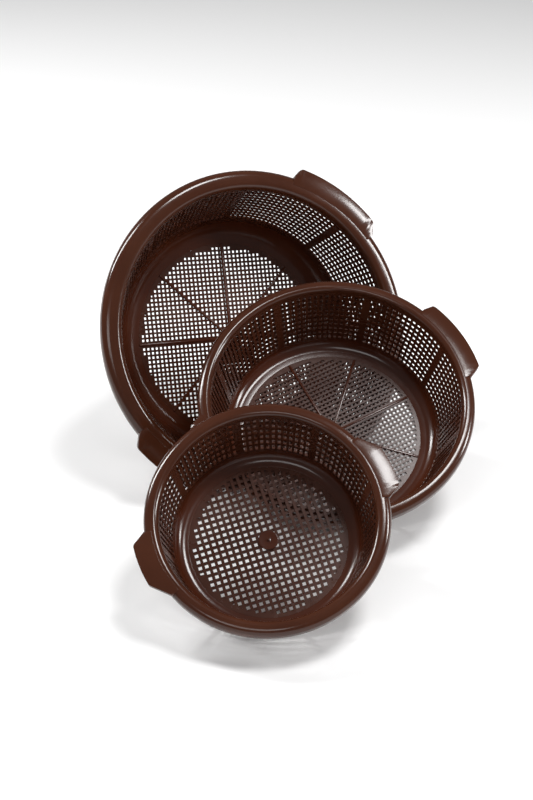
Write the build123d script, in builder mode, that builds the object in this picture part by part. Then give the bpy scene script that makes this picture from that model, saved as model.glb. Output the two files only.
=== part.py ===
from build123d import *

import math
import os
from dataclasses import dataclass

# A nesting set of three cheese moulds, in millimetres, +Z up, set out as they are shown for sale: the
# large one lies on its side, the medium one leans back on its rim, and the small one leans on the medium.

# Sizes that all three mouldings share
SIEVE_LAYER = 0.75  # thickness of the inner ribs, and of the outer hoops
WALL = 2 * SIEVE_LAYER  # the whole wall, square to its slope
BASE_LAYER = 0.8  # thickness of each layer of the base grille
FOOT_RISE = 0.3  # the grille hangs this far above the foot
BASE_TOP = FOOT_RISE + 2 * BASE_LAYER  # inside surface of the base
LIP_THICKNESS = 2.0
SKIRT_THICKNESS = 2.0
RING_MARGIN = 0.5  # plain wall between the corner's rounding and the sieve wall
BAND_MARGIN = 0.8  # plain wall between the highest hole and the lip
POSTS = 8  # upright posts round the wall, and spokes under the cheese
SPOKE_HEIGHT = 0.6
GRILLE_EDGE = 2.0  # plain border round the base grille
HUB_R = 3.0
BOSS_PROFILE = [(1, 0), (0.86, 0.9), (0.3, 1.2), (0.2, 2.2), (0, 2.4)]  # share of its radius, and rise
GRIP_LAP = 0.4  # how far each grip tab runs in past the lip's outer rounding
GRIP_THICKNESS = 3.0
GRIP_CORNER = 4.0
LEAN_GAP = 0.35  # left between a mould and the rim that it leans on
POINTS_ROUND = 240  # places round a rim where a leaning gap is measured
ROUND_STEPS = 12  # short lines that stand for a corner's rounding in that measure
LIP_STEPS = 6  # steps round each of a lip's roundings in that measure


@dataclass(frozen=True)
class Mould:
    """One mould's own sizes. Radii are inside ones except where they say outside, and angles are degrees."""

    name: str
    rim_r: float  # outside, across the lip
    height: float  # foot to the lip's inner edge
    lip_width: float  # from the wall's inside to the outside of the lip
    flare: float  # how much wider the inside is at the top than at the base
    corner_r: float  # rounding between wall and base
    foot_width: float  # flat ring round the base's open disc
    lip_round: float  # rounding of the lip's inner edge
    edge_round: float  # rounding of the lip's outer edge
    crown_drop: float  # fall of the lip from its inner edge to its outer one
    skirt: float  # depth of the lip's outer skirt, from the lip's inner edge
    sill: float  # plain wall below the lowest hole
    head: float  # from the highest hole to the top of the lip
    columns: int  # holes across one of the eight panels
    rows: int
    slot_share: float  # open part of a column's pitch
    gap_share: float  # open part of a row's pitch
    post_width: float
    base_pitch: float
    base_open: float  # open part of the base's pitch
    spoke_width: float  # 0 leaves the spokes out
    boss_r: float  # 0 leaves the centre boss out
    grip_reach: float  # how far a grip tab stands out from the rim
    grip_span: float
    grip_bevel: float  # taken off the span at each of the tab's outer corners
    grip_turn: float  # where the first tab is
    lattice_turn: float  # where the first post and spoke are
    upper_turn: float  # from there to the upper bars of the base

    @property
    def slope(self):
        """How far the wall flares for each millimetre up."""
        return self.flare / (self.height - BASE_TOP)

    def wall(self, z, depth=0.0):
        """Radius at height z of the surface that lies depth behind the wall's inside."""
        inside = self.rim_r - self.lip_width - (self.height - z) * self.slope
        return inside + depth * math.hypot(1, self.slope)

    @property
    def foot_r(self):
        """Outside radius of the flat foot, where the outer corner's rounding starts."""
        turn = math.pi / 2 - math.atan(self.slope)
        return self.wall(0, WALL) - (self.corner_r + WALL) * math.tan(turn / 2)

    @property
    def grille_r(self):
        """Radius of the base's open disc."""
        return self.foot_r - self.foot_width

    @property
    def ring_top(self):
        """Height where the corner ring meets the sieve wall."""
        return BASE_TOP + self.corner_r * (1 - math.sin(math.atan(self.slope))) + RING_MARGIN

    @property
    def sieve_low(self):
        """Height of the lowest hole."""
        return self.ring_top + self.sill

    @property
    def sieve_top(self):
        """Height of the top of the highest hole."""
        return self.height - self.head

    @property
    def band_z(self):
        """Height where the sieve wall meets the lip."""
        return self.sieve_top + BAND_MARGIN

    @property
    def skirt_z(self):
        """Height of the lip's lowest edge."""
        return self.height - self.skirt

    def bowl_outline(self):
        """The outside from the foot's edge to the top of the wall, as (radius, height)."""
        round_r = self.corner_r + WALL
        turn = math.pi / 2 - math.atan(self.slope)
        corner = []
        for i in range(ROUND_STEPS + 1):
            angle = turn * i / ROUND_STEPS
            corner.append((self.foot_r + round_r * math.sin(angle), round_r * (1 - math.cos(angle))))
        return corner + [(self.wall(self.height, WALL), self.height)]

    @property
    def fall(self):
        """How far the lip falls for each millimetre outwards."""
        return self.crown_drop / (self.rim_r - self.wall(self.height))

    def lip_roundings(self):
        """Points along the lip's inner and outer roundings, as (radius, height)."""
        meet = math.hypot(1, self.slope) * self.fall + math.hypot(1, self.fall)
        depth = self.lip_round * meet / (1 + self.slope * self.fall)
        inner_r = self.wall(self.height - depth, self.lip_round)
        outer_r = self.rim_r - self.edge_round
        points = []
        for sense, centre_r, radius in ((-1, inner_r, self.lip_round), (1, outer_r, self.edge_round)):
            crown = self.height - (centre_r - self.wall(self.height)) * self.fall
            centre_z = crown - radius * math.hypot(1, self.fall)
            for i in range(LIP_STEPS + 1):
                angle = math.pi / 2 * i / LIP_STEPS
                out, up = radius * math.cos(angle), radius * math.sin(angle)
                points.append((centre_r + sense * out, centre_z + up))
        return points

    def lip_outline(self):
        """The lip's outer side, as (radius, height)."""
        return [(self.rim_r, self.skirt_z), (self.rim_r, self.height)]


LARGE = Mould(
    name="large", rim_r=100, height=56.4, lip_width=11.4, flare=16, corner_r=12, foot_width=1.6,
    lip_round=4.5, edge_round=5, crown_drop=1.2, skirt=8, sill=4.2, head=5.8, columns=19, rows=11,
    slot_share=0.55, gap_share=0.56, post_width=3.6, base_pitch=2.8, base_open=0.52, spoke_width=1.6,
    boss_r=0, grip_reach=6.5, grip_span=37, grip_bevel=2.5, grip_turn=44.5, lattice_turn=-7.2,
    upper_turn=0,
)
MEDIUM = Mould(
    name="medium", rim_r=82, height=50.8, lip_width=7, flare=11.4, corner_r=6.5, foot_width=3.4,
    lip_round=2.6, edge_round=3.6, crown_drop=0.8, skirt=7.5, sill=0.8, head=5.2, columns=15, rows=10,
    slot_share=0.55, gap_share=0.56, post_width=3.2, base_pitch=2.8, base_open=0.56, spoke_width=1.5,
    boss_r=0, grip_reach=6.5, grip_span=38, grip_bevel=3, grip_turn=26.9, lattice_turn=26.3,
    upper_turn=0,
)
SMALL = Mould(
    name="small", rim_r=66, height=43.4, lip_width=7.6, flare=7.2, corner_r=6.5, foot_width=1.2,
    lip_round=3, edge_round=3.8, crown_drop=0.8, skirt=7, sill=1, head=4.8, columns=12, rows=6,
    slot_share=0.52, gap_share=0.62, post_width=3.2, base_pitch=3.7, base_open=0.54, spoke_width=0,
    boss_r=5.6, grip_reach=6.5, grip_span=34, grip_bevel=4, grip_turn=26.8, lattice_turn=19,
    upper_turn=90,
)

# How the three lie. A lean is the tilt from upright, towards the front turned by the turn angle.
LARGE_TURN = 25.4
MEDIUM_LEAN = 30.6
MEDIUM_TURN = 2.5
MEDIUM_ASIDE = 64.4  # right of the large mould's foot
SMALL_LEAN = 33.8
SMALL_TURN = -1.8
SMALL_ASIDE = -39.2  # from the medium mould's foot
SEARCH_STEPS = 24  # halvings of the search for where a mould meets the rim behind it

# The upright plane through a mould's axis, with the radius to the right and the height up
SECTION = Plane.XZ


def lean_on_side(mould):
    """The lean at which the lip's skirt and the rounded corner both touch the floor."""
    return max(
        math.degrees(math.atan2(mould.skirt_z - z, mould.rim_r - r))
        for r, z in mould.bowl_outline()
        if z < mould.skirt_z
    )


def stand_height(mould, lean):
    """Height of the foot's centre when the mould leans and its lowest point is on the floor."""
    tilt = math.radians(lean)
    outline = mould.bowl_outline() + mould.lip_outline()
    return -min(z * math.cos(tilt) - r * math.sin(tilt) for r, z in outline)


def seat(x, y, z, lean, turn):
    """The plane of a mould's foot, leaning to the front and turned to the right."""
    swing = math.radians(turn)
    tilt = math.radians(lean)
    front = Vector(math.sin(swing), -math.cos(swing), 0)
    side = Vector(math.cos(swing), math.sin(swing), 0)
    axis = front * math.sin(tilt) + Vector(0, 0, math.cos(tilt))
    return Plane(origin=(x, y, z), x_dir=side, z_dir=axis)


def rim_points(mould, plane):
    """Points round the edges of a lip, in the model's frame."""
    skirt_edges = [(mould.rim_r, mould.skirt_z), (mould.rim_r - SKIRT_THICKNESS, mould.skirt_z)]
    edges = skirt_edges + mould.lip_roundings()
    for i in range(POINTS_ROUND):
        angle = 2 * math.pi * i / POINTS_ROUND
        for r, z in edges:
            yield plane.from_local_coords((r * math.cos(angle), r * math.sin(angle), z))


def sides(outline, top):
    """The straight sides of a solid of revolution as (outward r, outward z, r, z), with its ends."""
    (first_r, first_z), faces = outline[0], [(0, 1, 0, top)]
    faces.append((0, -1, first_r, first_z))
    for (r0, z0), (r1, z1) in zip(outline, outline[1:]):
        length = math.hypot(r1 - r0, z1 - z0)
        faces.append(((z1 - z0) / length, (r0 - r1) / length, r0, z0))
    return faces


def gap_to(mould, plane, points):
    """The least distance of the points from a mould's outside, negative where one is within it."""
    bowl = sides(mould.bowl_outline(), mould.height)
    lip = sides(mould.lip_outline(), mould.height)
    least = math.inf
    for point in points:
        local = plane.to_local_coords(point)
        r = math.hypot(local.X, local.Y)
        for faces in (bowl, lip):
            least = min(least, max(a * (r - r0) + b * (local.Z - z0) for a, b, r0, z0 in faces))
    return least


def push_back(mould, x, z, lean, turn, rest, rest_plane):
    """The foot plane of a mould that is pushed back until it meets the rim of the one it leans on."""
    points = list(rim_points(rest, rest_plane))
    near = rest_plane.origin.Y - 3 * rest.rim_r
    far = rest_plane.origin.Y
    for _ in range(SEARCH_STEPS):
        middle = (near + far) / 2
        if gap_to(mould, seat(x, middle, z, lean, turn), points) > LEAN_GAP:
            near = middle
        else:
            far = middle
    return seat(x, near, z, lean, turn)


def rim(mould):
    """The rolled lip, its skirt and the plain band below it, notched where the grip tabs lap over it."""
    m = mould
    lip_under = m.height - LIP_THICKNESS
    edge_top = m.height - m.crown_drop
    with BuildPart() as part:
        with BuildSketch(SECTION) as lip:
            with BuildLine():
                Polyline(
                    (m.wall(m.band_z), m.band_z),
                    (m.wall(m.height), m.height),
                    (m.rim_r, edge_top),
                    (m.rim_r, m.height - m.skirt),
                    (m.rim_r - SKIRT_THICKNESS, m.height - m.skirt),
                    (m.rim_r - SKIRT_THICKNESS, edge_top - LIP_THICKNESS),
                    (m.wall(lip_under, WALL), lip_under),
                    (m.wall(m.band_z, WALL), m.band_z),
                    close=True,
                )
            make_face()
            roundings = [
                ((m.wall(m.height), m.height, 0), m.lip_round),
                ((m.rim_r, edge_top, 0), m.edge_round),
                ((m.rim_r - SKIRT_THICKNESS, edge_top - LIP_THICKNESS, 0), m.edge_round - SKIRT_THICKNESS),
                ((m.wall(lip_under, WALL), lip_under, 0), m.lip_round - WALL),
            ]
            for corner, radius in roundings:
                fillet(lip.vertices().sort_by_distance(corner)[0], radius)
        revolve(axis=Axis.Z)
        for side in (0, 180):
            add(grip(m, side), mode=Mode.SUBTRACT)
    return part


def grip(mould, side):
    """A flat grip tab that continues the lip outwards, with its outer corners cut back and rounded."""
    m = mould
    inner_r = m.rim_r - m.edge_round - GRIP_LAP
    outer_r = m.rim_r + m.grip_reach

    def top(r):
        return m.height - m.crown_drop - (r - m.rim_r) * m.fall

    def end(sign):
        inner = math.radians(side + m.grip_turn + sign * m.grip_span / 2)
        outer = inner - sign * math.radians(m.grip_bevel)
        start = Vector(math.cos(inner), math.sin(inner)) * m.rim_r
        return start, Vector(math.cos(outer), math.sin(outer)) * outer_r - start

    (low_start, low_run), (high_start, high_run) = end(-1), end(1)
    with BuildPart() as part:
        with BuildSketch(SECTION):
            with BuildLine():
                Polyline(
                    (inner_r, top(inner_r)),
                    (outer_r, top(outer_r)),
                    (outer_r, top(outer_r) - GRIP_THICKNESS),
                    (inner_r, top(inner_r) - GRIP_THICKNESS),
                    close=True,
                )
            make_face()
        revolve(axis=Axis.Z)
        with BuildSketch(Plane.XY):
            with BuildLine():
                Polyline(
                    low_start - low_run * 2,
                    low_start + low_run * 2,
                    high_start + high_run * 2,
                    high_start - high_run * 2,
                    close=True,
                )
            make_face()
        extrude(amount=2 * m.height, mode=Mode.INTERSECT)
        outer_face = part.faces().filter_by(GeomType.CYLINDER).sort_by(SortBy.AREA)[-1]
        corners = outer_face.edges().filter_by(GeomType.LINE)
        fillet(corners, GRIP_CORNER)
    return part.part


def shell(mould, inside, outside):
    """A cone of the sieve wall, from depth inside to depth outside behind the wall's inner surface."""
    m = mould
    with BuildPart() as part:
        with BuildSketch(SECTION):
            with BuildLine():
                Polyline(
                    (m.wall(m.ring_top, inside), m.ring_top),
                    (m.wall(m.band_z, inside), m.band_z),
                    (m.wall(m.band_z, outside), m.band_z),
                    (m.wall(m.ring_top, outside), m.ring_top),
                    close=True,
                )
            make_face()
        revolve(axis=Axis.Z)
    return part.part


def wall_ribs(mould):
    """The sieve wall's inner layer: upright ribs between slots, with a plain strip at each post."""
    m = mould
    panel = 360 / POSTS
    middle_r = m.wall((m.sieve_low + m.sieve_top) / 2)
    post_angle = math.degrees(m.post_width / middle_r)
    pitch = (panel - post_angle) / m.columns
    slot = m.slot_share * math.radians(pitch) * middle_r
    with BuildPart() as part:
        add(shell(m, 0, SIEVE_LAYER))
        with BuildSketch(Plane.XY.offset(m.sieve_low)):
            for post in range(POSTS):
                first = m.lattice_turn + post * panel + (post_angle + pitch) / 2
                with PolarLocations(middle_r, m.columns, first, pitch * (m.columns - 1), endpoint=True):
                    Rectangle(m.grille_r, slot)
        extrude(amount=m.sieve_top - m.sieve_low, mode=Mode.SUBTRACT)
    return part


def wall_hoops(mould):
    """The sieve wall's outer layer: hoops with gaps between them, joined by the upright posts."""
    m = mould
    row = (m.sieve_top - m.sieve_low) / m.rows
    far_r = m.rim_r + WALL
    with BuildPart() as gaps:
        for i in range(m.rows):
            with BuildSketch(Plane.XY.offset(m.sieve_low + i * row)):
                Circle(far_r)
            extrude(amount=row * m.gap_share)
        with PolarLocations(far_r / 2, POSTS, m.lattice_turn):
            Box(
                far_r, m.post_width, m.height,
                align=(Align.CENTER, Align.CENTER, Align.MIN), mode=Mode.SUBTRACT,
            )
    with BuildPart() as part:
        add(shell(m, SIEVE_LAYER, WALL))
        add(gaps.part, mode=Mode.SUBTRACT)
    return part


def base_ring(mould):
    """The rounded corner between wall and base, with the flat foot under it."""
    m = mould
    with BuildPart() as part:
        with BuildSketch(SECTION) as ring:
            with BuildLine():
                Polyline(
                    (m.grille_r, BASE_TOP),
                    (m.wall(BASE_TOP), BASE_TOP),
                    (m.wall(m.ring_top), m.ring_top),
                    (m.wall(m.ring_top, WALL), m.ring_top),
                    (m.wall(0, WALL), 0),
                    (m.grille_r, 0),
                    close=True,
                )
            make_face()
            foot_edge = ring.vertices().group_by(Axis.Y)[0].sort_by(Axis.X)[-1]
            fillet(foot_edge, m.corner_r + WALL)
            at_base = ring.vertices().filter_by(lambda vertex: math.isclose(vertex.Y, BASE_TOP))
            fillet(at_base.sort_by(Axis.X)[-1], m.corner_r)
        revolve(axis=Axis.Z)
    return part


def base_grille(mould, bottom, turn):
    """One layer of the base: parallel bars in a plain border."""
    m = mould
    open_r = m.grille_r - GRILLE_EDGE
    slot = m.base_pitch * m.base_open
    count = int(open_r / m.base_pitch)
    with BuildPart() as part:
        with BuildSketch(Plane.XY.offset(bottom)):
            Circle(m.grille_r)
            for i in range(-count, count + 1):
                across = i * m.base_pitch
                reach = open_r**2 - (abs(across) + slot / 2) ** 2
                if reach < slot**2:
                    continue
                with Locations(Rotation(0, 0, turn) * Location((0, across, 0))):
                    Rectangle(2 * math.sqrt(reach), slot, mode=Mode.SUBTRACT)
        extrude(amount=BASE_LAYER)
    return part


def base_spokes(mould):
    """Low spokes across the grille, from a hub to the plain border, one in line with each post."""
    m = mould
    with BuildPart() as part:
        with BuildSketch(Plane.XY.offset(BASE_TOP)):
            Circle(HUB_R)
            with PolarLocations(0, POSTS, m.lattice_turn):
                Rectangle(m.grille_r, m.spoke_width, align=(Align.MIN, Align.CENTER))
        extrude(amount=SPOKE_HEIGHT)
    return part


def centre_boss(mould):
    """The round gate boss in the middle of the base, sloping up to a small peak."""
    outline = [(mould.boss_r * share, BASE_TOP + rise) for share, rise in BOSS_PROFILE]
    with BuildPart() as part:
        with BuildSketch(SECTION):
            with BuildLine():
                Polyline((0, BASE_TOP), *outline, close=True)
            make_face()
        revolve(axis=Axis.Z)
    return part


def pieces(mould):
    """Every piece of one mould in its own foot's frame, by name."""
    m = mould
    made = {
        "rim": rim(m).part,
        "right_grip": grip(m, 0),
        "left_grip": grip(m, 180),
        "wall_ribs": wall_ribs(m).part,
        "wall_hoops": wall_hoops(m).part,
        "base_ring": base_ring(m).part,
        "base_bars": base_grille(m, FOOT_RISE + BASE_LAYER, m.lattice_turn + m.upper_turn).part,
        "base_cross_bars": base_grille(m, FOOT_RISE, m.lattice_turn + m.upper_turn + 90).part,
    }
    if m.spoke_width:
        made["base_spokes"] = base_spokes(m).part
    if m.boss_r:
        made["centre_boss"] = centre_boss(m).part
    return made


large_lean = lean_on_side(LARGE)
large_seat = seat(0, 0, stand_height(LARGE, large_lean), large_lean, LARGE_TURN)
medium_seat = push_back(
    MEDIUM, MEDIUM_ASIDE, stand_height(MEDIUM, MEDIUM_LEAN), MEDIUM_LEAN, MEDIUM_TURN, LARGE, large_seat
)
small_seat = push_back(
    SMALL, MEDIUM_ASIDE + SMALL_ASIDE, stand_height(SMALL, SMALL_LEAN), SMALL_LEAN, SMALL_TURN,
    MEDIUM, medium_seat,
)

seats = {LARGE: large_seat, MEDIUM: medium_seat, SMALL: small_seat}
placed = {
    f"{mould.name}_{piece}": solid.moved(plane.location)
    for mould, plane in seats.items()
    for piece, solid in pieces(mould).items()
}

# The origin is on the floor, under the middle of the whole set, which the rims, grips and corners bound.
boxes = [
    solid.bounding_box()
    for name, solid in placed.items()
    if name.endswith(("rim", "grip", "base_ring"))
]
middle_x = (min(box.min.X for box in boxes) + max(box.max.X for box in boxes)) / 2
middle_y = (min(box.min.Y for box in boxes) + max(box.max.Y for box in boxes)) / 2
to_origin = Location((-middle_x, -middle_y, -min(box.min.Z for box in boxes)))

os.makedirs("parts", exist_ok=True)
for name, solid in placed.items():
    part = solid.moved(to_origin)
    part.label = name
    export_step(part, f"parts/{name}.step")

for mould, plane in seats.items():
    foot = (to_origin * plane.location).position
    print(f"{mould.name}: foot at {tuple(foot)}, axis {tuple(plane.z_dir)}")
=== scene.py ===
"""Looks for a set of three round cheese moulds that lean on one another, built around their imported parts."""

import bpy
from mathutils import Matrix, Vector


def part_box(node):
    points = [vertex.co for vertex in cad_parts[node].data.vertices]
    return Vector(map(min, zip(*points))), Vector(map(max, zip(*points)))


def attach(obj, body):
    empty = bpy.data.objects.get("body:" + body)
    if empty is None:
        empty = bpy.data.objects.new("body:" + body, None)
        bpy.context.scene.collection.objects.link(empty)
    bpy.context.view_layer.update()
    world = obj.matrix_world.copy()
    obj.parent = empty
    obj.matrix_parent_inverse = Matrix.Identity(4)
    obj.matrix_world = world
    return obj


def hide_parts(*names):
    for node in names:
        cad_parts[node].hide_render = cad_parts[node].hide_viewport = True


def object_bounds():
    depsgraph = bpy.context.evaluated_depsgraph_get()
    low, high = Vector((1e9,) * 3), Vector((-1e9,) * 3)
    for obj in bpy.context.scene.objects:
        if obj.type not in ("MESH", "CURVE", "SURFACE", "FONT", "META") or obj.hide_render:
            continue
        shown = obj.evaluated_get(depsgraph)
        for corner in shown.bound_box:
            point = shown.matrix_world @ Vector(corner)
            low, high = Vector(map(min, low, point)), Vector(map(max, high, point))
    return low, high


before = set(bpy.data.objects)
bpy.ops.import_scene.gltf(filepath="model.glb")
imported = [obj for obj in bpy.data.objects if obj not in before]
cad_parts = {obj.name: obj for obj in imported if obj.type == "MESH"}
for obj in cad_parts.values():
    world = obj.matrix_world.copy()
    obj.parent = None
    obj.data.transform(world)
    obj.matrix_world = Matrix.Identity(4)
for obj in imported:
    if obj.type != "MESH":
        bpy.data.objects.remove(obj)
cad_box = [list(corner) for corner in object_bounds()]

import logging
import math
from dataclasses import dataclass
from enum import Enum
from typing import Callable

import bmesh
import bpy
import numpy as np
from mathutils import Matrix, Vector

log = logging.getLogger("cheese_moulds")

MM = 0.001  # pieces are modelled upright in millimetres and put in place in metres

# Sizes that all three mouldings share, in millimetres
WALL = 1.5
FOOT_RISE = 0.3
BASE_TOP = 1.9
LIP_THICKNESS = 2.0
SKIRT_THICKNESS = 2.0
RING_MARGIN = 0.5
BAND_MARGIN = 0.8
SOFT_EDGE = 0.3  # the small rounding that every moulded edge has
GRIP_LAP = 0.6
GRIP_THICKNESS = 2.8
GRIP_PROUD = 0.12  # a grip's top stands this far above the lip that it grows from
GRIP_CORNER = 4.0
GRIP_EDGE = 0.7
SPOKES = 8
SPOKE_HEIGHT = 0.6
SPOKE_ROUND = 0.75  # rounding of a spoke's edges, as a share of its height
HUB_R = 3.0
HUB_ROUND = 0.6  # rounding of the hub's edges, as a share of its height
BOSS_RISE = 0.9
BOSS_EDGE = 0.12
BOSS_STEPS = ((0.18, 0.0), (0.5, -0.35), (0.17, 0.1), (0.05, 1.3))  # inset as a share of radius, and lift

AROUND = 240  # faces round a turned piece
HUB_AROUND = 48  # faces round a spoke hub
BOSS_AROUND = 96  # faces round the centre boss
ROUND_FACES = 6  # faces across a rounded corner
EDGE_FACES = 3  # faces across a softened edge
SMOOTH_BELOW = math.radians(38)
UPWARD = 0.5  # a face whose normal rises more than this looks up
NEAR = 1e-3  # two places closer than this are the same
MERGE_BELOW = 1e-4  # points of a turned section closer than this are joined


class Slot(Enum):
    """The record's material slots."""

    RIM = "rim_plastic"
    SIEVE = "sieve_plastic"
    BASE = "base_plastic"


class Side(Enum):
    """The two grips of a mould, by the half turn that takes the first one to each."""

    RIGHT = 0.0
    LEFT = math.pi


@dataclass(frozen=True)
class Corner:
    """A corner of a turned section: its radius, its height and the radius of its rounding."""

    radius: float
    height: float
    rounding: float = 0.0


# ---------------------------------------------------------------- modelling by hand


def deselect_all() -> None:
    """Leaves nothing selected, so that an operator acts only on the new piece."""
    bpy.ops.object.select_all(action="DESELECT")


def only(piece: bpy.types.Object) -> None:
    """Selects one piece and makes it active.

    Args:
        piece: The piece, in object mode.
    """
    deselect_all()
    piece.select_set(True)
    bpy.context.view_layer.objects.active = piece


def select_edges(wanted: Callable[[bmesh.types.BMEdge], bool]) -> None:
    """Selects only the edges that pass a test, in edit mode.

    Args:
        wanted: The test.
    """
    bpy.ops.mesh.select_all(action="DESELECT")
    bpy.ops.mesh.select_mode(type="EDGE")
    mesh = bmesh.from_edit_mesh(bpy.context.edit_object.data)
    for edge in mesh.edges:
        edge.select_set(wanted(edge))
    bmesh.update_edit_mesh(bpy.context.edit_object.data)


def select_ring(corner: Corner) -> None:
    """Selects the edges of the ring that a corner of the section turned into, in edit mode.

    Args:
        corner: The corner.
    """

    def on_ring(edge: bmesh.types.BMEdge) -> bool:
        """Says whether both ends of an edge lie on the corner's ring."""
        return all(
            abs(vert.co.xy.length - corner.radius) < NEAR and abs(vert.co.z - corner.height) < NEAR
            for vert in edge.verts
        )

    select_edges(on_ring)


def easing(before: Corner, corner: Corner, after: Corner) -> float:
    """The length that a corner's rounding takes off each of the two sides that meet there.

    Args:
        before: The corner at the other end of one side.
        corner: The corner that is rounded.
        after: The corner at the other end of the other side.

    Returns:
        The distance from the corner to where its arc starts.
    """
    arriving = Vector((corner.radius - before.radius, corner.height - before.height))
    leaving = Vector((after.radius - corner.radius, after.height - corner.height))
    return corner.rounding * math.tan(arriving.angle(leaving) / 2)


def turned(name: str, corners: list[Corner]) -> bpy.types.Object:
    """Turns a closed section about Z, ring by ring, and rounds the corners that ask for it.

    Args:
        name: The new piece's name.
        corners: The section's corners in order, none of them on the axis.

    Returns:
        The piece, upright, in millimetres.
    """
    deselect_all()
    start = corners[0]
    bpy.ops.mesh.primitive_circle_add(vertices=AROUND, radius=start.radius, location=(0, 0, start.height))
    piece = bpy.context.object
    piece.name = piece.data.name = name
    bpy.ops.object.transform_apply(location=True)
    bpy.ops.object.mode_set(mode="EDIT")
    bpy.ops.mesh.select_all(action="SELECT")
    for last, corner in zip(corners, corners[1:] + corners[:1]):
        rise = corner.height - last.height
        bpy.ops.mesh.extrude_region_move(TRANSFORM_OT_translate={"value": (0, 0, rise)})
        spread = corner.radius / last.radius
        bpy.ops.transform.resize(value=(spread, spread, 1), center_override=(0, 0, corner.height))
    bpy.ops.mesh.select_all(action="SELECT")
    bpy.ops.mesh.remove_doubles(threshold=MERGE_BELOW)
    bpy.ops.mesh.normals_make_consistent(inside=False)
    for before, corner, after in zip(corners[-1:] + corners[:-1], corners, corners[1:] + corners[:1]):
        if corner.rounding:
            select_ring(corner)
            bpy.ops.mesh.bevel(
                offset_type="OFFSET", offset=easing(before, corner, after), segments=ROUND_FACES,
                profile=0.5, affect="EDGES",
            )
    bpy.ops.object.mode_set(mode="OBJECT")
    return piece


def soften(piece: bpy.types.Object, width: float) -> None:
    """Rounds every sharp edge of a piece a little and shades it smooth.

    Args:
        piece: The piece, in object mode.
        width: What the rounding takes off each side of an edge.
    """
    only(piece)
    bevel = piece.modifiers.new("soft edges", "BEVEL")
    bevel.width = width
    bevel.segments = EDGE_FACES
    bevel.limit_method = "ANGLE"
    bevel.angle_limit = SMOOTH_BELOW
    bpy.ops.object.modifier_apply(modifier=bevel.name)
    bpy.ops.object.shade_smooth_by_angle(angle=SMOOTH_BELOW)


def turn_about_axis(piece: bpy.types.Object, angle: float) -> None:
    """Turns a piece about Z and keeps the turn in its mesh.

    Args:
        piece: The piece, in object mode.
        angle: The turn, in radians.
    """
    only(piece)
    piece.rotation_euler = (0, 0, angle)
    bpy.ops.object.transform_apply(rotation=True)


# ---------------------------------------------------------------- finishes


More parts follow.
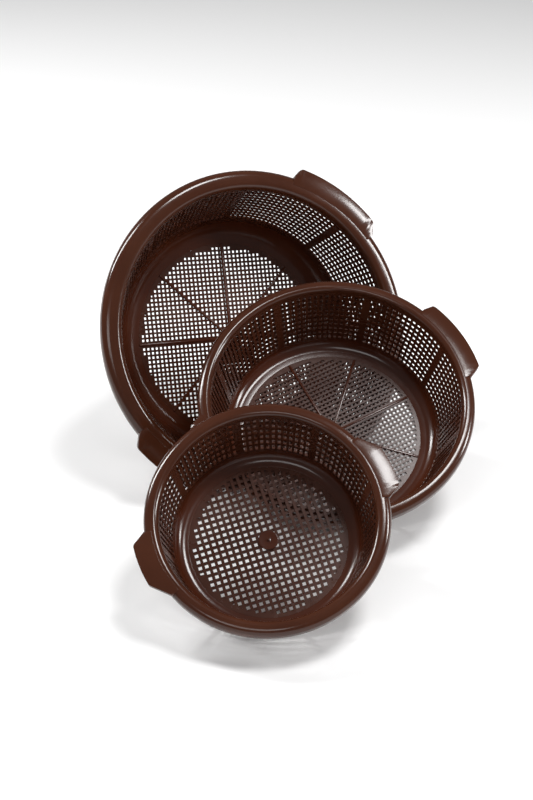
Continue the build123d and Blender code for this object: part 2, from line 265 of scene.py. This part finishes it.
@dataclass(frozen=True)
class Plastic:
    """A glossy moulded plastic. Sizes are in metres, and the shares are of the whole roughness."""

    slot: Slot
    colour: tuple[float, float, float]
    deep_colour: tuple[float, float, float]
    roughness: float
    uneven: float
    cloud_size: float = 0.035
    peel_size: float = 0.0011
    peel_depth: float = 0.00002
    peel_strength: float = 0.6
    scuff_size: float = 0.004
    scuff_stretch: tuple[float, float, float] = (1, 0.25, 2)
    scuff_share: float = 0.5
    pigment_range: tuple[float, float] = (0.3, 0.7)
    wear_range: tuple[float, float] = (0.45, 1.05)
    refraction: float = 1.42

    def material(self) -> bpy.types.Material:
        """Builds the node material.

        Returns:
            A new material that is named after its slot.
        """
        material = bpy.data.materials.new(self.slot.value)
        material.use_nodes = True
        tree = material.node_tree
        shader = tree.nodes["Principled BSDF"]
        shader.inputs["IOR"].default_value = self.refraction
        place = tree.nodes.new("ShaderNodeTexCoord").outputs["Object"]
        cloud = self.noise(tree, place, self.cloud_size, detail=4)
        self.tint(tree, cloud, shader.inputs["Base Color"])
        self.wear(tree, place, cloud, shader.inputs["Roughness"])
        self.peel(tree, place, shader.inputs["Normal"])
        return material

    def noise(
        self, tree: bpy.types.NodeTree, place: bpy.types.NodeSocket, size: float, detail: float
    ) -> bpy.types.NodeSocket:
        """Adds a noise of about one bump per size.

        Args:
            tree: The material's nodes.
            place: The coordinates that it reads.
            size: The width of a bump, in metres.
            detail: How many finer octaves it has.

        Returns:
            The noise's value, around a half.
        """
        node = tree.nodes.new("ShaderNodeTexNoise")
        node.inputs["Scale"].default_value = 1 / size
        node.inputs["Detail"].default_value = detail
        tree.links.new(place, node.inputs["Vector"])
        return node.outputs["Fac"]

    def tint(
        self, tree: bpy.types.NodeTree, cloud: bpy.types.NodeSocket, colour: bpy.types.NodeSocket
    ) -> None:
        """Lets the pigment drift slowly between the two colours.

        Args:
            tree: The material's nodes.
            cloud: The broad noise that the drift follows.
            colour: The input that takes the colour.
        """
        ramp = tree.nodes.new("ShaderNodeValToRGB")
        ends = zip(ramp.color_ramp.elements, self.pigment_range, (self.deep_colour, self.colour))
        for end, position, shade in ends:
            end.position = position
            end.color = (*shade, 1)
        tree.links.new(cloud, ramp.inputs["Fac"])
        tree.links.new(ramp.outputs["Color"], colour)

    def wear(
        self, tree: bpy.types.NodeTree, place: bpy.types.NodeSocket, cloud: bpy.types.NodeSocket,
        roughness: bpy.types.NodeSocket,
    ) -> None:
        """Makes the gloss uneven: broad duller clouds, and fine scuffs drawn out one way.

        Args:
            tree: The material's nodes.
            place: The coordinates that the scuffs read.
            cloud: The broad noise.
            roughness: The input that takes the roughness.
        """
        stretch = tree.nodes.new("ShaderNodeMapping")
        stretch.inputs["Scale"].default_value = self.scuff_stretch
        tree.links.new(place, stretch.inputs["Vector"])
        scuff = self.noise(tree, stretch.outputs["Vector"], self.scuff_size, detail=8)
        both = tree.nodes.new("ShaderNodeMath")
        both.operation = "MULTIPLY_ADD"
        both.inputs[1].default_value = self.scuff_share
        tree.links.new(scuff, both.inputs[0])
        tree.links.new(cloud, both.inputs[2])
        spread = tree.nodes.new("ShaderNodeMapRange")
        spread.inputs["From Min"].default_value = self.wear_range[0]
        spread.inputs["From Max"].default_value = self.wear_range[1]
        spread.inputs["To Min"].default_value = self.roughness * (1 - self.uneven)
        spread.inputs["To Max"].default_value = self.roughness * (1 + self.uneven)
        tree.links.new(both.outputs["Value"], spread.inputs["Value"])
        tree.links.new(spread.outputs["Result"], roughness)

    def peel(
        self, tree: bpy.types.NodeTree, place: bpy.types.NodeSocket, normal: bpy.types.NodeSocket
    ) -> None:
        """Gives the surface the faint ripple that a mould's polish leaves.

        Args:
            tree: The material's nodes.
            place: The coordinates that the ripple reads.
            normal: The input that takes the bumped normal.
        """
        bump = tree.nodes.new("ShaderNodeBump")
        bump.inputs["Strength"].default_value = self.peel_strength
        bump.inputs["Distance"].default_value = self.peel_depth
        tree.links.new(self.noise(tree, place, self.peel_size, detail=2), bump.inputs["Height"])
        tree.links.new(bump.outputs["Normal"], normal)


FINISHES = (
    Plastic(Slot.RIM, (0.052, 0.0145, 0.0058), (0.04, 0.0108, 0.0045), roughness=0.16, uneven=0.3),
    Plastic(Slot.SIEVE, (0.056, 0.015, 0.006), (0.041, 0.0105, 0.0045), roughness=0.26, uneven=0.25),
    Plastic(Slot.BASE, (0.062, 0.015, 0.0058), (0.047, 0.011, 0.0045), roughness=0.17, uneven=0.3),
)


# ---------------------------------------------------------------- the moulds


@dataclass(frozen=True)
class Seat:
    """Where a mould stands: the middle of its foot, its level sideways direction and its leaning axis."""

    foot: Vector
    side: Vector
    axis: Vector

    @classmethod
    def of(cls, mould: str) -> "Seat":
        """Works a mould's seat out from the lower disc of its base.

        Args:
            mould: The mould's name.

        Returns:
            The seat, in metres.
        """
        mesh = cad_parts[f"{mould}_base_cross_bars"].data
        normals = np.empty(3 * len(mesh.polygons))
        areas = np.empty(len(mesh.polygons))
        places = np.empty(3 * len(mesh.vertices))
        mesh.polygons.foreach_get("normal", normals)
        mesh.polygons.foreach_get("area", areas)
        mesh.vertices.foreach_get("co", places)
        normals, places = normals.reshape(-1, 3), places.reshape(-1, 3)
        facing = (normals * areas[:, None]).T @ normals
        axis = Vector(np.linalg.eigh(facing)[1][:, -1]).normalized()
        rim_low, rim_high = (Vector(corner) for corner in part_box(f"{mould}_rim"))
        if axis.dot((rim_low + rim_high) / 2 - Vector(places.mean(axis=0))) < 0:
            axis.negate()
        side = Vector((0, 0, 1)).cross(axis).normalized()
        foot = axis * (float((places @ np.array(axis)).min()) - FOOT_RISE * MM)
        for level in (side, axis.cross(side)):
            reach = places @ np.array(level)
            foot += level * float(reach.min() + reach.max()) / 2
        return cls(foot, side, axis)

    def matrix(self) -> Matrix:
        """Takes an upright piece in millimetres to its place in metres."""
        turn = Matrix((self.side, self.axis.cross(self.side), self.axis)).transposed().to_4x4()
        return Matrix.Translation(self.foot) @ turn @ Matrix.Scale(MM, 4)


@dataclass(frozen=True)
class Mould:
    """One mould: its sizes in millimetres, its turns in degrees, and how its visible pieces are made."""

    name: str
    rim_r: float
    height: float
    lip_width: float
    flare: float
    corner_r: float
    foot_width: float
    lip_round: float
    edge_round: float
    crown_drop: float
    skirt: float
    head: float
    grip_reach: float
    grip_span: float
    grip_bevel: float
    grip_turn: float
    lattice_turn: float
    spoke_width: float = 0.0
    boss_r: float = 0.0

    @property
    def slope(self) -> float:
        """How far the wall flares for each millimetre up."""
        return self.flare / (self.height - BASE_TOP)

    @property
    def foot_r(self) -> float:
        """Outside radius of the flat foot."""
        turn = math.pi / 2 - math.atan(self.slope)
        return self.wall(0, WALL) - (self.corner_r + WALL) * math.tan(turn / 2)

    @property
    def grille_r(self) -> float:
        """Radius of the base's open disc."""
        return self.foot_r - self.foot_width

    @property
    def ring_top(self) -> float:
        """Height where the rounded corner ring meets the sieve wall."""
        return BASE_TOP + self.corner_r * (1 - math.sin(math.atan(self.slope))) + RING_MARGIN

    @property
    def band_z(self) -> float:
        """Height where the sieve wall meets the plain band under the lip."""
        return self.height - self.head + BAND_MARGIN

    @property
    def fall(self) -> float:
        """How far the lip falls for each millimetre outwards."""
        return self.crown_drop / (self.rim_r - self.wall(self.height))

    def wall(self, z: float, depth: float = 0.0) -> float:
        """The radius of the wall.

        Args:
            z: The height.
            depth: The distance behind the wall's inside.

        Returns:
            The radius in millimetres.
        """
        inside = self.rim_r - self.lip_width - (self.height - z) * self.slope
        return inside + depth * math.hypot(1, self.slope)

    def build(self, looks: dict[Slot, bpy.types.Material]) -> None:
        """Makes, places and dresses every piece of the mould.

        Args:
            looks: The material of each slot.
        """
        seat = Seat.of(self.name)
        self.finish(self.lip(), seat, looks, Slot.RIM, "rim")
        self.finish(self.grip(Side.RIGHT), seat, looks, Slot.RIM, "right_grip")
        self.finish(self.grip(Side.LEFT), seat, looks, Slot.RIM, "left_grip")
        self.finish(self.corner(), seat, looks, Slot.BASE, "base_ring")
        if self.spoke_width:
            self.finish(self.spokes(), seat, looks, Slot.BASE, "base_spokes")
        if self.boss_r:
            self.finish(self.boss(), seat, looks, Slot.BASE, "centre_boss")
        for sieve in ("wall_ribs", "wall_hoops", "base_bars", "base_cross_bars"):
            self.dress(sieve, looks[Slot.SIEVE])

    def finish(
        self, piece: bpy.types.Object, seat: Seat, looks: dict[Slot, bpy.types.Material], slot: Slot,
        node: str,
    ) -> None:
        """Puts a piece in its place, gives it its material and lets it stand for its node.

        Args:
            piece: The piece, upright, in millimetres.
            seat: The mould's seat.
            looks: The material of each slot.
            slot: The slot that the piece takes its finish from.
            node: The node's name without the mould's.
        """
        only(piece)
        piece.matrix_world = seat.matrix()
        bpy.ops.object.transform_apply(location=True, rotation=True, scale=True)
        piece.data.materials.clear()
        piece.data.materials.append(looks[slot])
        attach(piece, f"{self.name}_mould")
        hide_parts(f"{self.name}_{node}")
        log.info("%s: %d faces", piece.name, len(piece.data.polygons))

    def dress(self, node: str, look: bpy.types.Material) -> None:
        """Gives a node that is shown as it is its material.

        Args:
            node: The node's name without the mould's.
            look: The material.
        """
        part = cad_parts[f"{self.name}_{node}"]
        for slot in part.material_slots:
            slot.material = look
        log.info("%s: dressed as it is", part.name)

    def lip(self) -> bpy.types.Object:
        """Turns the rolled lip with its skirt and the plain band below it.

        Returns:
            The piece, upright, in millimetres.
        """
        under = self.height - LIP_THICKNESS
        edge = self.height - self.crown_drop
        piece = turned(f"{self.name}_lip", [
            Corner(self.wall(self.band_z), self.band_z),
            Corner(self.wall(self.height), self.height, self.lip_round),
            Corner(self.rim_r, edge, self.edge_round),
            Corner(self.rim_r, self.height - self.skirt),
            Corner(self.rim_r - SKIRT_THICKNESS, self.height - self.skirt),
            Corner(self.rim_r - SKIRT_THICKNESS, edge - LIP_THICKNESS, self.edge_round - SKIRT_THICKNESS),
            Corner(self.wall(under, WALL), under, self.lip_round - WALL),
            Corner(self.wall(self.band_z, WALL), self.band_z),
        ])
        soften(piece, SOFT_EDGE)
        return piece

    def corner(self) -> bpy.types.Object:
        """Turns the rounded corner between the wall and the base, with its flat foot.

        Returns:
            The piece, upright, in millimetres.
        """
        piece = turned(f"{self.name}_rounded_corner", [
            Corner(self.grille_r, BASE_TOP),
            Corner(self.wall(BASE_TOP), BASE_TOP, self.corner_r),
            Corner(self.wall(self.ring_top), self.ring_top),
            Corner(self.wall(self.ring_top, WALL), self.ring_top),
            Corner(self.wall(0, WALL), 0, self.corner_r + WALL),
            Corner(self.grille_r, 0),
        ])
        soften(piece, SOFT_EDGE / 2)
        return piece

    def grip(self, side: Side) -> bpy.types.Object:
        """Sweeps a grip tab along the rim, cuts its ends back and rounds it.

        Args:
            side: Which of the two grips it is.

        Returns:
            The piece, upright, in millimetres.
        """
        length = GRIP_LAP + self.edge_round + self.grip_reach
        middle_r = self.rim_r + self.grip_reach - length / 2
        top = self.height - self.crown_drop - (middle_r - self.rim_r) * self.fall + GRIP_PROUD
        span = math.radians(self.grip_span)
        deselect_all()
        bpy.ops.mesh.primitive_plane_add(
            size=1, location=(middle_r, 0, top - GRIP_THICKNESS / 2),
            rotation=(math.pi / 2, math.atan(self.fall), 0),
        )
        piece = bpy.context.object
        piece.name = piece.data.name = f"{self.name}_grip_{side.name.lower()}"
        piece.scale = (length, GRIP_THICKNESS, 1)
        bpy.ops.object.transform_apply(location=True, rotation=True, scale=True)
        bpy.ops.object.mode_set(mode="EDIT")
        bpy.ops.mesh.select_all(action="SELECT")
        steps = round(AROUND * span / math.tau)
        bpy.ops.mesh.spin(steps=steps, angle=span, center=(0, 0, 0), axis=(0, 0, -1))
        for angle, inward in ((0.0, 1), (span, -1)):
            self.cut_grip_end(angle, inward)
        bpy.ops.mesh.select_all(action="SELECT")
        bpy.ops.mesh.remove_doubles(threshold=NEAR)
        bpy.ops.mesh.normals_make_consistent(inside=False)
        self.round_grip_corners()
        bpy.ops.object.mode_set(mode="OBJECT")
        soften(piece, GRIP_EDGE)
        turn_about_axis(piece, math.radians(self.grip_turn) - span / 2 + side.value)
        return piece

    def cut_grip_end(self, angle: float, inward: int) -> None:
        """Cuts one end of a grip back towards its outer edge, in edit mode.

        Args:
            angle: Where the end is, in radians.
            inward: The sense of rotation that leads into the grip.
        """
        outer = angle + inward * math.radians(self.grip_bevel)
        start = Vector((math.cos(angle), math.sin(angle), 0)) * self.rim_r
        along = Vector((math.cos(outer), math.sin(outer), 0)) * (self.rim_r + self.grip_reach) - start
        away = along.cross(Vector((0, 0, 1))) * inward
        bpy.ops.mesh.select_all(action="SELECT")
        bpy.ops.mesh.bisect(plane_co=start, plane_no=away, use_fill=True, clear_outer=True)

    def round_grip_corners(self) -> None:
        """Rounds the two upright outer edges of a grip, in edit mode."""

        def outer_corner(edge: bmesh.types.BMEdge) -> bool:
            """Says whether an edge is one of the upright corners at the grip's outer side."""
            first, last = (vert.co for vert in edge.verts)
            upright = abs(first.z - last.z) > GRIP_THICKNESS / 2
            outside = min(first.xy.length, last.xy.length) > self.rim_r + self.grip_reach / 2
            return upright and outside and edge.calc_face_angle(0) > SMOOTH_BELOW

        select_edges(outer_corner)
        bpy.ops.mesh.bevel(offset=GRIP_CORNER, segments=ROUND_FACES, profile=0.5, affect="EDGES")

    def spokes(self) -> bpy.types.Object:
        """Models one round-topped spoke, copies it round and joins the copies at a low hub.

        Returns:
            The piece, upright, in millimetres.
        """
        deselect_all()
        bpy.ops.mesh.primitive_cube_add(size=1, location=(self.grille_r / 2, 0, BASE_TOP))
        spoke = bpy.context.object
        spoke.name = spoke.data.name = f"{self.name}_spokes"
        spoke.scale = (self.grille_r, self.spoke_width, 2 * SPOKE_HEIGHT)
        bpy.ops.object.transform_apply(location=True, rotation=True, scale=True)
        soften(spoke, SPOKE_HEIGHT * SPOKE_ROUND)
        turn_about_axis(spoke, math.radians(self.lattice_turn))
        copies = []
        for i in range(1, SPOKES):
            only(spoke)
            bpy.ops.object.duplicate()
            copy = bpy.context.object
            turn_about_axis(copy, math.tau * i / SPOKES)
            copies.append(copy)
        deselect_all()
        bpy.ops.mesh.primitive_cylinder_add(
            vertices=HUB_AROUND, radius=HUB_R, depth=2 * SPOKE_HEIGHT, location=(0, 0, BASE_TOP)
        )
        hub = bpy.context.object
        bpy.ops.object.transform_apply(location=True)
        soften(hub, SPOKE_HEIGHT * HUB_ROUND)
        only(spoke)
        for copy in copies + [hub]:
            copy.select_set(True)
        bpy.ops.object.join()
        return spoke

    def boss(self) -> bpy.types.Object:
        """Models the dished round boss in the middle of the base, with its small peak.

        Returns:
            The piece, upright, in millimetres.
        """
        deselect_all()
        bpy.ops.mesh.primitive_cylinder_add(
            vertices=BOSS_AROUND, radius=self.boss_r, depth=BOSS_RISE,
            location=(0, 0, BASE_TOP + BOSS_RISE / 2),
        )
        piece = bpy.context.object
        piece.name = piece.data.name = f"{self.name}_gate_boss"
        bpy.ops.object.transform_apply(location=True)
        bpy.ops.object.mode_set(mode="EDIT")
        mesh = bmesh.from_edit_mesh(piece.data)
        for face in mesh.faces:
            face.select = face.normal.z > UPWARD
        bmesh.update_edit_mesh(piece.data)
        for inset, lift in BOSS_STEPS:
            bpy.ops.mesh.inset(thickness=inset * self.boss_r, depth=0)
            bpy.ops.transform.translate(value=(0, 0, lift))
        bpy.ops.object.mode_set(mode="OBJECT")
        soften(piece, BOSS_EDGE)
        return piece


LARGE = Mould(
    name="large", rim_r=100, height=56.4, lip_width=11.4, flare=16, corner_r=12, foot_width=1.6,
    lip_round=4.5, edge_round=5, crown_drop=1.2, skirt=8, head=5.8, grip_reach=6.5, grip_span=37,
    grip_bevel=2.5, grip_turn=44.5, lattice_turn=-7.2, spoke_width=1.6,
)
MEDIUM = Mould(
    name="medium", rim_r=82, height=50.8, lip_width=7, flare=11.4, corner_r=6.5, foot_width=3.4,
    lip_round=2.6, edge_round=3.6, crown_drop=0.8, skirt=7.5, head=5.2, grip_reach=6.5, grip_span=38,
    grip_bevel=3, grip_turn=26.9, lattice_turn=26.3, spoke_width=1.5,
)
SMALL = Mould(
    name="small", rim_r=66, height=43.4, lip_width=7.6, flare=7.2, corner_r=6.5, foot_width=1.2,
    lip_round=3, edge_round=3.8, crown_drop=0.8, skirt=7, head=4.8, grip_reach=6.5, grip_span=34,
    grip_bevel=4, grip_turn=26.8, lattice_turn=19, boss_r=5.6,
)


# ---------------------------------------------------------------- the studio


@dataclass(frozen=True)
class Lamp:
    """A soft rectangular light. Lengths are in metres, the power is in watts."""

    name: str
    place: tuple[float, float, float]
    width: float
    depth: float
    power: float

    def build(self, aim: Vector) -> None:
        """Hangs the light and turns it to face the moulds.

        Args:
            aim: The place that the light faces.
        """
        deselect_all()
        bpy.ops.object.light_add(type="AREA", location=self.place)
        lamp = bpy.context.object
        lamp.name = self.name
        lamp.data.shape = "RECTANGLE"
        lamp.data.size = self.width
        lamp.data.size_y = self.depth
        lamp.data.energy = self.power
        lamp.rotation_euler = (aim - Vector(self.place)).to_track_quat("-Z", "Y").to_euler()


@dataclass(frozen=True)
class Studio:
    """A pale floor, soft lights and a camera. Lengths are in metres."""

    floor_size: float = 8.0
    floor_colour: tuple[float, float, float, float] = (0.92, 0.92, 0.92, 1)
    floor_roughness: float = 0.9
    sky: float = 0.2
    camera_place: tuple[float, float, float] = (-0.0142, -0.7034, 0.4937)
    camera_elevation: float = math.radians(30.67)
    lens: float = 63.2
    lamps: tuple[Lamp, ...] = (
        Lamp("overhead_softbox", (0.46, -0.2, 1.5), 0.4, 0.35, 13.0),
        Lamp("left_softbox", (-1.0, 0.35, 1.0), 0.16, 0.9, 18.0),
        Lamp("right_softbox", (1.05, -0.1, 0.6), 0.14, 0.5, 8.0),
        Lamp("front_softbox", (-0.3, -1.5, 1.2), 0.9, 0.4, 5.0),
    )

    def build(self) -> None:
        """Sets the whole studio up."""
        self.lay_floor()
        self.light_sky()
        aim = Vector((0, 0, (cad_box[0][2] + cad_box[1][2]) / 2))
        for lamp in self.lamps:
            lamp.build(aim)
        self.set_camera()

    def lay_floor(self) -> None:
        """Lays the plain pale floor that the moulds stand on."""
        deselect_all()
        bpy.ops.mesh.primitive_plane_add(size=self.floor_size, location=(0, 0, cad_box[0][2]))
        floor = bpy.context.object
        floor.name = "studio_floor"
        material = bpy.data.materials.new("studio_floor")
        material.use_nodes = True
        shader = material.node_tree.nodes["Principled BSDF"]
        shader.inputs["Base Color"].default_value = self.floor_colour
        shader.inputs["Roughness"].default_value = self.floor_roughness
        floor.data.materials.append(material)

    def light_sky(self) -> None:
        """Surrounds the moulds with an even white light."""
        world = bpy.data.worlds.new("studio")
        world.use_nodes = True
        world.node_tree.nodes["Background"].inputs["Color"].default_value = (1, 1, 1, 1)
        world.node_tree.nodes["Background"].inputs["Strength"].default_value = self.sky
        bpy.context.scene.world = world

    def set_camera(self) -> None:
        """Looks down on the moulds from the front."""
        deselect_all()
        bpy.ops.object.camera_add(
            location=self.camera_place, rotation=(math.pi / 2 - self.camera_elevation, 0, 0)
        )
        camera = bpy.context.object
        camera.data.lens = self.lens
        bpy.context.scene.camera = camera
        bpy.context.scene.view_settings.view_transform = "Standard"


def main() -> None:
    """Builds the moulds and the studio."""
    logging.basicConfig(level=logging.INFO, format="%(name)s %(message)s")
    looks = {finish.slot: finish.material() for finish in FINISHES}
    for mould in (LARGE, MEDIUM, SMALL):
        mould.build(looks)
    Studio().build()


if __name__ == "__main__":
    main()
